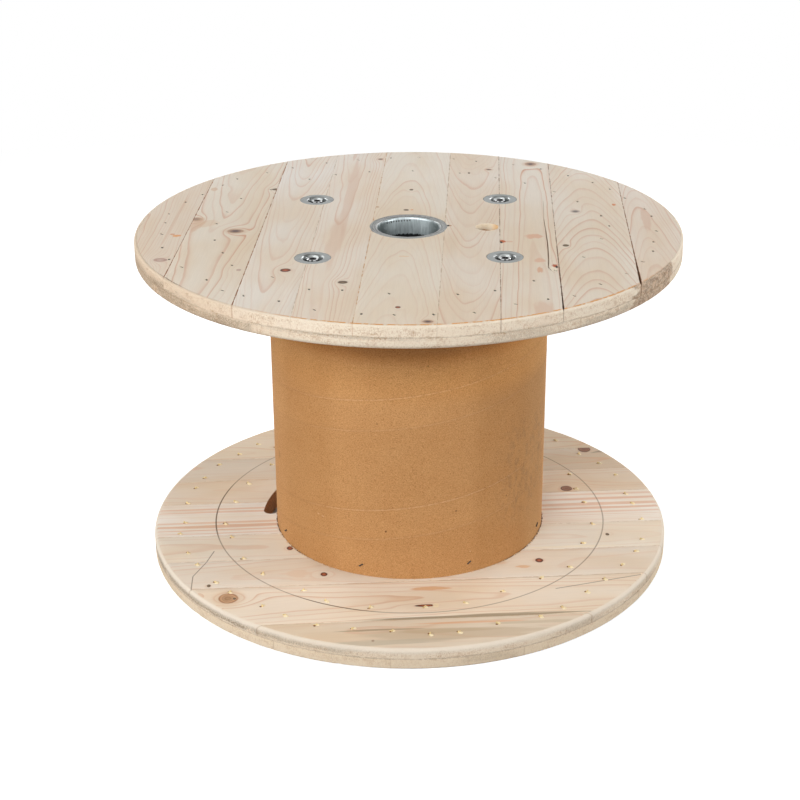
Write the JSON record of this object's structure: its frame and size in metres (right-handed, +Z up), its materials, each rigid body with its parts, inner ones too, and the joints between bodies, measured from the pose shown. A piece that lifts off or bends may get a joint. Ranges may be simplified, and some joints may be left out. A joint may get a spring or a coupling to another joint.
{
  "type": "wire spool",
  "caption": "Flanged wooden cable drum with a cardboard barrel, crossed-board flanges, steel arbor bushings, tie rods and a cable entry slot.",
  "frame": {"origin": "centre of the lower flange's outer face, on the drum's axis", "axes": "+Z up along the drum's axis; the outer boards of the top flange run along Y and the drive-pin hole lies towards +X"},
  "size_m": [0.71, 0.71, 0.451],
  "materials": {
    "top_boards": "planed softwood, sawn rim",
    "bottom_boards": "planed softwood, sawn rim",
    "barrel": "spiral-wound kraft board",
    "bushing": "galvanised pressed sheet",
    "rod": "zinc plated, dull",
    "washer": "zinc plated pressed sheet",
    "nut": "bright zinc",
    "nail": "resin-coated wire nail",
    "staple": "dull wire"
  },
  "bodies": {
    "root": {"top_outer_board_1": "top_boards", "top_outer_board_2": "top_boards", "top_outer_board_3": "top_boards", "top_outer_board_4": "top_boards", "top_outer_board_5": "top_boards", "top_outer_board_6": "top_boards", "top_outer_board_7": "top_boards", "top_outer_board_8": "top_boards", "top_outer_board_9": "top_boards", "top_inner_board_1": "top_boards", "top_inner_board_2": "top_boards", "top_inner_board_3": "top_boards", "top_inner_board_4": "top_boards", "top_inner_board_5": "top_boards", "top_inner_board_6": "top_boards", "top_inner_board_7": "top_boards", "top_inner_board_8": "top_boards", "top_inner_board_9": "top_boards", "bottom_inner_board_1": "bottom_boards", "bottom_inner_board_2": "bottom_boards", "bottom_inner_board_3": "bottom_boards", "bottom_inner_board_4": "bottom_boards", "bottom_inner_board_5": "bottom_boards", "bottom_inner_board_6": "bottom_boards", "bottom_inner_board_7": "bottom_boards", "bottom_inner_board_8": "bottom_boards", "bottom_inner_board_9": "bottom_boards", "bottom_outer_board_1": "bottom_boards", "bottom_outer_board_2": "bottom_boards", "bottom_outer_board_3": "bottom_boards", "bottom_outer_board_4": "bottom_boards", "bottom_outer_board_5": "bottom_boards", "bottom_outer_board_6": "bottom_boards", "bottom_outer_board_7": "bottom_boards", "bottom_outer_board_8": "bottom_boards", "bottom_outer_board_9": "bottom_boards", "barrel_tube": "barrel", "top_bushing": "bushing", "bottom_bushing": "bushing", "tie_rod_1": "rod", "tie_rod_2": "rod", "tie_rod_3": "rod", "tie_rod_4": "rod", "top_washers": "washer", "bottom_washers": "washer", "top_nuts": "nut", "bottom_nuts": "nut", "top_nails": "nail", "bottom_nails": "nail", "top_staples": "staple", "bottom_staples": "staple"}
  },
  "joints": []
}
